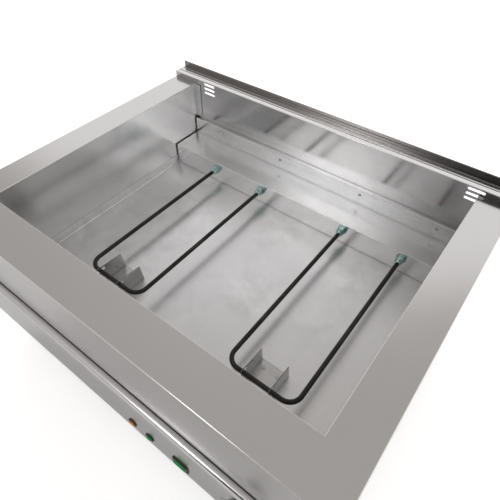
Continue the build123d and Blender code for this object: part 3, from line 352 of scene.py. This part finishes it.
def sheath():
    """Tubular heating element: black oxide with drawn lines, scale and rubbed patches."""
    tree = material_tree("oxidised_sheath")
    scale = tree.noise(420.0, 4.0, 0.65)
    patch = tree.noise(34.0, offset=(1.0, 2.0, 3.0))
    lines = tree.noise(1.0, 2.0, 0.5, tree.mapped((900.0, 14.0, 900.0)))
    worn = tree.mul(tree.remap(patch, 0.50, 0.72), tree.remap(scale, 0.40, 0.62))
    colour = tree.mix(tree.remap(patch, 0.30, 0.70),
                      (0.0085, 0.0085, 0.0085), (0.022, 0.0205, 0.0190))
    colour = tree.mix(tree.mul(worn, 0.55), colour, (0.062, 0.052, 0.043))
    normal = tree.bump(lines, 0.00004, tree.bump(scale, 0.00006))
    tree.principled(Base_Color=colour, Metallic=0.35, Roughness=tree.vary(0.40, scale, 0.30),
                    Normal=normal, Specular_IOR_Level=0.45)
    return tree.owner


def plastic(name, tint, rough, *, grain=900.0, depth=0.00003, dust=0.10, spec=0.45,
            transmission=0.0, ior=1.48, glow=None):
    """Moulded plastic: fine grain, tone drift, lighter worn edges and dust on upward faces.

    grain, depth: scale and height of the surface grain; glow: colour of a faint emission.
    """
    tree = material_tree(name)
    fine = tree.noise(grain, 2.0)
    drift = tree.noise(55.0, offset=(3.0, 1.0, 2.0))
    edge = tree.edge(0.0007)
    colour = tree.mix(tree.remap(drift, 0.30, 0.70), toned(tint, 0.86), toned(tint, 1.10))
    colour = tree.mix(tree.mul(edge, 0.30), colour, toned(tint, 1.5, lift=0.02))
    upward = tree.remap(tree.world_normal()[2], 0.3, 1.0)
    dusty = tree.mul(tree.mul(upward, tree.remap(drift, 0.45, 0.70)), dust)
    colour = tree.mix(dusty, colour, (0.36, 0.34, 0.31))
    light = dict(Emission_Color=glow, Emission_Strength=0.12) if glow else {}
    tree.principled(Base_Color=colour, Metallic=0.0, Roughness=tree.vary(rough, drift, 0.16),
                    Normal=tree.bump(fine, depth), Specular_IOR_Level=spec, IOR=ior,
                    Transmission_Weight=transmission, **light)
    return tree.owner


def rubber():
    """Black rubber, greyed by dust at its foot and along its edges."""
    tree = material_tree("foot_rubber")
    tint = (0.022, 0.022, 0.023)
    fine = tree.noise(700.0)
    drift = tree.noise(40.0)
    low = tree.remap(tree.xyz()[2], 0.006, 0.0, to=(0.0, 0.5))
    colour = tree.mix(tree.remap(drift, 0.3, 0.7), tint, toned(tint, 1.9))
    colour = tree.mix(tree.mul(low, tree.remap(drift, 0.40, 0.62)), colour, (0.16, 0.15, 0.14))
    colour = tree.mix(tree.mul(tree.edge(0.0010), 0.25), colour, (0.09, 0.09, 0.09))
    tree.principled(Base_Color=colour, Roughness=tree.vary(0.70, drift, 0.25),
                    Normal=tree.bump(fine, 0.00006), Specular_IOR_Level=0.3)
    return tree.owner


def ceramic():
    """Off-white ceramic, darker and browner towards its corners."""
    tree = material_tree("glazed_ceramic")
    fine = tree.noise(380.0)
    drift = tree.noise(60.0)
    corner = tree.cavity(0.006)
    colour = tree.mix(tree.remap(drift, 0.3, 0.7), (0.62, 0.60, 0.55), (0.76, 0.74, 0.69))
    colour = tree.mix(tree.remap(corner, 0.2, 0.8, to=(0.45, 0.0)), colour, (0.20, 0.17, 0.14))
    tree.principled(Base_Color=colour, Roughness=tree.vary(0.45, drift, 0.3),
                    Normal=tree.bump(fine, 0.00004))
    return tree.owner


def sleeve():
    """Woven glass-fibre sleeving on the wires."""
    tree = material_tree("fibre_sleeve")
    weave = tree.node("TexWave", {"Scale": 320.0, "Distortion": 1.2, "Vector": tree.coords},
                      wave_type="BANDS", bands_direction="DIAGONAL").outputs["Fac"]
    drift = tree.noise(70.0)
    colour = tree.mix(weave, (0.45, 0.42, 0.36), (0.70, 0.67, 0.60))
    colour = tree.mix(tree.remap(drift, 0.45, 0.70, to=(0.0, 0.5)), colour, (0.32, 0.28, 0.22))
    tree.principled(Base_Color=colour, Roughness=0.80, Normal=tree.bump(weave, 0.0002),
                    Specular_IOR_Level=0.25)
    return tree.owner


def wool():
    """Compressed mineral wool board: matted fibres, uneven tone, a soft surface."""
    tree = material_tree("mineral_wool")
    # fibres run two ways: stretch of the noise, turn in radians
    fibres = [tree.noise(1.0, 4.0, 0.7, tree.mapped(stretch, turn=turn), distortion=0.6)
              for stretch, turn in (((90.0, 620.0, 620.0), (0.2, 0.4, 0.3)),
                                    ((620.0, 80.0, 620.0), (0.5, 0.1, 0.9)))]
    mat = tree.math("MAXIMUM", *fibres)
    drift = tree.noise(22.0, 4.0)
    colour = tree.mix(tree.remap(mat, 0.45, 0.75), (0.30, 0.25, 0.14), (0.62, 0.55, 0.36))
    colour = tree.mix(tree.remap(drift, 0.4, 0.7, to=(0.0, 0.5)), colour, (0.42, 0.36, 0.20))
    tree.principled(Base_Color=colour, Roughness=0.95, Normal=tree.bump(mat, 0.0012),
                    Sheen_Weight=0.3)
    return tree.owner


# ---------------------------------------------------------------- material tables

CASING = dict(rough=0.235, streak=0.020, cloud=0.03, cloud_scale=7.0, wavy=0.00010, aniso=0.45,
              corner_shade=0.08, edge_gain=0.25, seam=0.25)
CLEAR = dict(grain=1200.0, depth=0.00001, spec=0.5, ior=1.5)

BY_SLOT = {
    "rim_steel": steel(
        "satin_rim", (0.640, 0.628, 0.616), rough=0.20, streak=0.010, cloud=0.020,
        cloud_scale=7.0, wavy=0.00012, aniso=0.20, corner_shade=0.05, edge_gain=0.56, seed=1.0, seam=0.10),
    "well_steel": steel(
        "well_sheet", (0.655, 0.655, 0.655), rough=0.235, spread=0.035, streak=0.045, cloud=0.06,
        cloud_scale=11.0, wavy=0.00014, fleck=0.40, corner_shade=0.22, edge_gain=0.30, seed=4.0,
        seam=0.60, mottle=0.12, haze=0.10),
    "back_steel": steel(
        "back_sheet", (0.560, 0.558, 0.556), rough=0.14, streak=0.065, cloud=0.06,
        cloud_scale=8.0, wavy=0.00012, aniso=0.35, fleck=0.30, corner_shade=0.16, edge_gain=0.16,
        seed=9.0, seam=0.55, mottle=0.16, haze=0.01),
    "rail_steel": steel(
        "rail_sheet", (0.720, 0.705, 0.698), rough=0.16, streak=0.020, cloud=0.02,
        cloud_scale=8.0, wavy=0.00006, corner_shade=0.25, edge_gain=0.20, seed=13.0, seam=0.60),
    "casing_steel": steel("casing_sheet", (0.660, 0.650, 0.652), seed=17.0, **CASING),
    "element_sheath": sheath(),
    "plated_bush": plated("zinc_plated_bush", (0.52, 0.68, 0.66), rough=0.24, recess_shade=0.30,
                          tone=(0.38, 0.62, 0.58)),
    "fastener_steel": plated("fastener_steel", (0.56, 0.55, 0.54), rough=0.28, recess_shade=0.35),
    "insulator_ceramic": ceramic(),
    "terminal_brass": plated("nickelled_brass", (0.62, 0.52, 0.30), rough=0.30, recess_shade=0.35),
    "pad_rubber": rubber(),
    "black_plastic": plastic("black_moulding", (0.020, 0.020, 0.021), rough=0.40),
    "rocker_plastic": plastic("green_rocker", (0.020, 0.30, 0.075), rough=0.24, dust=0.04,
                              transmission=0.15, glow=(0.02, 0.35, 0.08), **CLEAR),
    "lens_green": plastic("green_lens", (0.030, 0.42, 0.12), rough=0.14, dust=0.03,
                          transmission=0.35, glow=(0.02, 0.45, 0.10), **CLEAR),
    "lens_amber": plastic("amber_lens", (0.75, 0.30, 0.030), rough=0.14, dust=0.03,
                          transmission=0.35, glow=(0.80, 0.28, 0.02), **CLEAR),
    "dial_metal": steel(
        "dial_plate_metal", (0.68, 0.68, 0.69), rough=0.34, spread=0.05, streak=0.05, cloud=0.03,
        cloud_scale=30.0, wavy=0.00003, aniso=0.5, corner_shade=0.20, edge_gain=0.15, seed=21.0),
    "bulb_copper": plated("copper_capillary", (0.72, 0.38, 0.25), rough=0.30, recess_shade=0.30),
    "lead_sleeve": sleeve(),
    "mineral_wool": wool(),
}

# pieces whose look differs from the rest of their slot; the upstand's dark tint is painted shade
BY_NODE = {
    "floor_pan": steel(
        "well_floor", (0.730, 0.728, 0.727), rough=0.325, spread=0.035, grain=ALONG_Y,
        streak=0.035, cloud=0.085, cloud_scale=10.0, wavy=0.00014, aniso=0.15, fleck=0.50,
        corner_shade=0.26, edge_gain=0.30, seed=7.0, seam=0.50, mottle=0.32, haze=0.09),
    # a darkened copy of the stainless tint: painted shade
    "rear_upstand": steel(
        "upstand_sheet", (0.295, 0.284, 0.277), rough=0.18, spread=0.04, streak=0.030,
        cloud=0.05, cloud_scale=6.0, wavy=0.00006, corner_shade=0.20, edge_gain=0.70, seed=27.0),
}
# side, then the seeds of well wall, casing side and bracket
for side, wall_seed, panel_seed, bracket_seed in (("left", 5.0, 18.0, 23.0),
                                                  ("right", 6.0, 19.0, 24.0)):
    BY_NODE["well_wall_" + side] = steel(
        "well_side_" + side, (0.660, 0.660, 0.658), rough=0.235, spread=0.035, grain=ALONG_Y,
        streak=0.040, cloud=0.07, cloud_scale=9.0, wavy=0.00014, aniso=0.35, fleck=0.40,
        corner_shade=0.20, edge_gain=0.16, seed=wall_seed, seam=0.45, mottle=0.12, haze=0.06)
    BY_NODE["side_panel_" + side] = steel(
        "casing_side_" + side, (0.650, 0.640, 0.638), grain=ALONG_Y, seed=panel_seed, **CASING)
    bracket = "element_bracket_" + side
    BY_NODE[bracket] = steel(
        "bracket_sheet_" + side, (0.56, 0.56, 0.56), rough=0.22, spread=0.035, streak=0.04,
        cloud=0.10, cloud_scale=30.0, wavy=0.00003, fleck=0.4, corner_shade=0.35, edge_gain=-0.10,
        seed=bracket_seed, seam=0.50, mottle=0.08, haze=0.10, ears=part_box(bracket)[0].z)

# ---------------------------------------------------------------- edge rounding of CAD pieces

# rounding width: pieces
ROUNDED = {
    0.00040: "terminal_block switch_housing safety_cutout thermostat_body power_inlet foot_nuts",
    0.00035: "top_frame front_fascia bush_nuts",
    0.00030: "back_panel control_panel side_panel_left side_panel_right base_plate floor_pan "
             "well_wall_front well_wall_left well_wall_right element_cover earth_nut",
    0.00025: "rear_track rear_upstand element_bushes",
    0.00022: "element_bracket_left element_bracket_right",
    0.00020: "bulb_clip",
    0.00015: "bush_washers dial_plate",
}
EDGE = {piece: width for width, pieces in ROUNDED.items() for piece in pieces.split()}


def round_edges(piece, width):
    """Welds facets and rounds hard edges with modifiers, which leaves the CAD mesh as it is."""
    weld = piece.modifiers.new("weld", "WELD")
    weld.merge_threshold = 0.000002
    planar = piece.modifiers.new("planar", "DECIMATE")
    planar.decimate_type = "DISSOLVE"
    planar.angle_limit = math.radians(0.4)
    bevel = piece.modifiers.new("edge_round", "BEVEL")
    bevel.width = width
    bevel.segments = 2
    bevel.limit_method = "ANGLE"
    bevel.angle_limit = math.radians(38)
    bevel.use_clamp_overlap = False
    bevel.miter_outer = "MITER_ARC"
    shade = piece.modifiers.new("shade", "WEIGHTED_NORMAL")
    shade.weight = 60
    shade.keep_sharp = False


for name, piece in sorted(NODES.items()):
    material = BY_NODE.get(name) or BY_SLOT[SLOT_OF[name]]
    piece.data.materials.clear()
    piece.data.materials.append(material)
    for polygon in piece.data.polygons:
        polygon.material_index = 0
    if name in EDGE:
        round_edges(piece, EDGE[name])

# ---------------------------------------------------------------- dial print

dial_lo, dial_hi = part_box("dial_plate")
DIAL = Vector(((dial_lo.x + dial_hi.x) / 2, dial_lo.y, (dial_lo.z + dial_hi.z) / 2))
DIAL_RADIUS = (dial_hi.x - dial_lo.x) / 2
TICK_RADIUS = DIAL_RADIUS - 0.0090    # inner ends of the ticks
ARC_RADIUS = TICK_RADIUS - 0.0006     # outer edge of the heat arc
FIGURE_RADIUS = DIAL_RADIUS - 0.0040
FIGURE_SIZE = 0.0040
PRINT_THICK = 0.00012
PRINT_SINK = 0.00002                  # how far ticks and arc reach into the plate
TICK_STEP = 10                        # degrees
FIGURE_STEP = 3 * TICK_STEP
LONG_TICK = (0.00045, 0.0026)         # width, length
SHORT_TICK = (0.00022, 0.0015)
ARC_SWEEP = 240                       # degrees, from the second figure on
ARC_STEPS = 60
ARC_WIDTH = 0.0002                    # at the start of the arc
ARC_GROWTH = 0.0011                   # added by its end
FIGURES = ["0", "30", "40", "50", "60", "70", "80", "90", "100", "110"]


def on_dial(angle, radius):
    """X and Z from the dial's middle, for an angle clockwise from the top, seen from the front."""
    turn = math.radians(90 - angle)
    return (radius * math.cos(turn), radius * math.sin(turn))


def slab(bm, points):
    """A thin closed plate on the dial over an outline of X, Z points."""
    low, high = [[bm.verts.new((DIAL.x + x, y, DIAL.z + z)) for x, z in points]
                 for y in (DIAL.y + PRINT_SINK, DIAL.y - PRINT_THICK)]
    bm.faces.new(low)
    bm.faces.new(list(reversed(high)))
    count = len(points)
    for i in range(count):
        j = (i + 1) % count
        bm.faces.new((low[j], low[i], high[i], high[j]))


def add_ticks(bm):
    for k in range(28):
        width, length = LONG_TICK if k % 3 == 0 else SHORT_TICK
        out = Vector(on_dial(TICK_STEP * k, 1.0))
        side = Vector((-out.y, out.x)) * (width / 2)
        inner = out * TICK_RADIUS
        outer = out * (TICK_RADIUS + length)
        slab(bm, [inner - side, inner + side, outer + side, outer - side])


def add_heat_arc(bm):
    """An arc that grows wider clockwise."""
    for k in range(ARC_STEPS):
        start, end = [FIGURE_STEP + ARC_SWEEP * i / ARC_STEPS for i in (k, k + 1)]
        start_width, end_width = [ARC_WIDTH + ARC_GROWTH * i / ARC_STEPS for i in (k, k + 1)]
        slab(bm, [on_dial(start, ARC_RADIUS - start_width), on_dial(start, ARC_RADIUS),
                  on_dial(end, ARC_RADIUS), on_dial(end, ARC_RADIUS - end_width)])


def text_mesh(body, size, depth):
    """Text as a closed thin mesh in the XZ plane, facing -Y, centred on the origin."""
    curve = bpy.data.curves.new("figure", "FONT")
    curve.body = body
    curve.size = size
    curve.align_x = "CENTER"
    curve.align_y = "CENTER"
    curve.extrude = depth
    curve.bevel_depth = 0.0
    curve.resolution_u = 3
    holder = bpy.data.objects.new("figure", curve)
    scene.collection.objects.link(holder)
    bpy.context.view_layer.update()
    mesh = bpy.data.meshes.new_from_object(holder)
    bpy.data.objects.remove(holder)
    mesh.transform(Matrix.Rotation(math.radians(90), 4, "X"))
    return mesh


def add_figures(bm):
    for k, label in enumerate(FIGURES):
        figure = text_mesh(label, FIGURE_SIZE, PRINT_THICK / 2)
        x, z = on_dial(FIGURE_STEP * k, FIGURE_RADIUS)
        figure.transform(Matrix.Translation((DIAL.x + x, DIAL.y - PRINT_THICK / 2, DIAL.z + z)))
        bm.from_mesh(figure)


def build_dial_print():
    ink = plastic("print_ink", (0.018, 0.018, 0.020), rough=0.50, grain=1500.0,
                  depth=0.000005, dust=0.0)
    bm = bmesh.new()
    add_ticks(bm)
    add_heat_arc(bm)
    add_figures(bm)
    bmesh.ops.recalc_face_normals(bm, faces=bm.faces)
    bm.normal_update()
    mesh = bpy.data.meshes.new("dial_print")
    bm.to_mesh(mesh)
    bm.free()
    mesh.materials.append(ink)
    dial_print = bpy.data.objects.new("dial_print", mesh)
    scene.collection.objects.link(dial_print)
    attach(dial_print, "cabinet")


build_dial_print()

# ---------------------------------------------------------------- floor


def build_floor():
    """A pale floor just under the feet, lifted towards white for the camera only."""
    bm = bmesh.new()
    bmesh.ops.create_grid(bm, x_segments=24, y_segments=24, size=6.0)
    mesh = bpy.data.meshes.new("studio_floor")
    bm.to_mesh(mesh)
    bm.free()
    floor = bpy.data.objects.new("studio_floor", mesh)
    floor.location = (0, 0, CAD_BOX[0][2] - 0.0002)
    scene.collection.objects.link(floor)
    tree = material_tree("studio_floor")
    colour = tree.mix(tree.noise(3.0, 3.0, 0.5), (0.86, 0.86, 0.86), (0.90, 0.90, 0.90))
    lift = tree.mul(tree.node("LightPath").outputs["Is Camera Ray"], 0.55)
    tree.principled(Base_Color=colour, Roughness=0.75, Specular_IOR_Level=0.2,
                    Emission_Color=(1, 1, 1), Emission_Strength=lift)
    mesh.materials.append(tree.owner)


build_floor()

# ---------------------------------------------------------------- world

# Soft-edged patches of sky. Columns: azimuth from +Y towards +X, elevation, half width and
# half height (degrees), gain, softness across and up (shares of the half sizes), and tilt
# (degrees of rise per degree of azimuth past the middle).
DARK_PATCHES = [
    (172.0, 35.7, 24.0, 14.0, 0.97, 0.12, 0.14, -0.656),
    (143.0, 32.0, 9.5, 16.0, 0.92, 0.20, 0.30, 0.0),
]
SOFT_BOXES = [
    (203.8, 37.5, 7.3, 9.0, 3.0, 0.30, 0.35, 0.60),
    (125.0, 31.0, 6.5, 9.0, 6.0, 0.25, 0.4, 0.0),
    (54.0, 37.0, 20.0, 14.0, 0.16, 0.6, 0.6, 0.0),
]


def sky_patch(tree, direction, azimuth, elevation, half_width, half_height, gain,
              soft_across, soft_up, tilt):
    x, y, z = direction
    turn = math.radians(azimuth)
    east, north = math.sin(turn), math.cos(turn)
    along = tree.add(tree.mul(x, east), tree.mul(y, north))
    side = tree.sub(tree.mul(x, north), tree.mul(y, east))
    across = tree.mul(tree.math("ARCTAN2", side, along), 180.0 / math.pi)
    up = tree.mul(tree.math("ARCSINE", z), 180.0 / math.pi)
    middle = tree.add(elevation, tree.mul(tree.math("MAXIMUM", across, 0.0), tilt))

    def falloff(offset, half, soft):
        return tree.remap(tree.math("ABSOLUTE", offset), half * (1 + soft), half * (1 - soft))

    mask = tree.mul(falloff(across, half_width, soft_across),
                    falloff(tree.sub(up, middle), half_height, soft_up))
    return tree.mul(mask, gain)


def build_world():
    """A white sweep on the +Y side, a grey ceiling, dark patches and soft boxes."""
    world = bpy.data.worlds.new("studio")
    scene.world = world
    tree = Tree(world, output="OutputWorld", coords="Generated")
    direction = x, y, z = tree.xyz()

    # edge of the sweep, drawn on a level plane overhead
    height = tree.math("MAXIMUM", z, 0.02)
    plane_x = tree.math("DIVIDE", x, height)
    plane_y = tree.math("DIVIDE", y, height)
    line = tree.math("MAXIMUM", 0.50, tree.add(0.94, tree.mul(plane_x, 0.90)))
    line = tree.math("MINIMUM", line, 1.07)
    line = tree.add(line, tree.remap(plane_x, -0.8, -1.6, to=(0.0, 0.08), smooth=False))
    in_sweep = tree.remap(tree.sub(plane_y, line), -0.10, 0.16)

    ceiling = tree.mix(tree.remap(z, 0.35, 0.95), (0.50, 0.484, 0.470), (0.53, 0.508, 0.490))
    sweep = tree.mix(tree.remap(z, 0.0, 0.7), (0.98, 0.98, 0.99), (1.02, 1.01, 1.02))
    dark = tree.mix(tree.remap(z, 0.0, 0.45), (0.50, 0.50, 0.52), ceiling)
    colour = tree.mix(in_sweep, dark, sweep)

    for patch in DARK_PATCHES:
        colour = tree.shade(colour, tree.sub(1.0, sky_patch(tree, direction, *patch)))
    first, second, third = [sky_patch(tree, direction, *box) for box in SOFT_BOXES]
    boxes = tree.add(tree.add(first, second), third)
    colour = tree.shade(colour, boxes, blend="ADD")

    # the camera itself sees plain white
    seen = tree.node("LightPath").outputs["Is Camera Ray"]
    colour = tree.mix(seen, colour, (1.0, 1.0, 1.0))
    tree.surface(tree.node("Background", {"Color": colour, "Strength": 1.0}))
    world.cycles.sampling_method = "MANUAL"
    world.cycles.sample_map_resolution = 512


build_world()

# ---------------------------------------------------------------- lights and camera


def area_light(name, *, place, target, size, power):
    """A rectangular light that stays out of reflections."""
    light = bpy.data.lights.new(name, "AREA")
    light.shape = "RECTANGLE"
    light.size, light.size_y = size
    light.energy = power
    lamp = bpy.data.objects.new(name, light)
    lamp.location = place
    aim = Vector(target) - Vector(place)
    lamp.rotation_euler = aim.to_track_quat("-Z", "Y").to_euler()
    lamp.visible_glossy = False
    scene.collection.objects.link(lamp)


area_light("key_soft", place=(-0.9, 1.4, 2.4), target=(0, 0, 0.3), size=(1.6, 1.2), power=9.0)
area_light("fill_soft", place=(1.8, -1.6, 1.9), target=(0, 0, 0.2), size=(1.6, 1.2), power=4.0)


def build_camera():
    """Looks down from the front, on the +X side."""
    lens = bpy.data.cameras.new("camera")
    lens.sensor_width = 36.0
    lens.lens = 32.01
    lens.clip_start = 0.01
    camera = bpy.data.objects.new("camera", lens)
    # columns: right, up and backward axes, then the place
    camera.matrix_world = Matrix((
        (0.79356579, -0.44826138, 0.41147913, 0.3688),
        (0.60847756, 0.58138049, -0.54014053, -0.4126),
        (0.0028982, 0.67901286, 0.73412065, 0.8800),
        (0.0, 0.0, 0.0, 1.0),
    ))
    scene.collection.objects.link(camera)
    scene.camera = camera


build_camera()
scene.view_settings.view_transform = "Standard"
scene.view_settings.look = "None"
scene.view_settings.exposure = 0.0
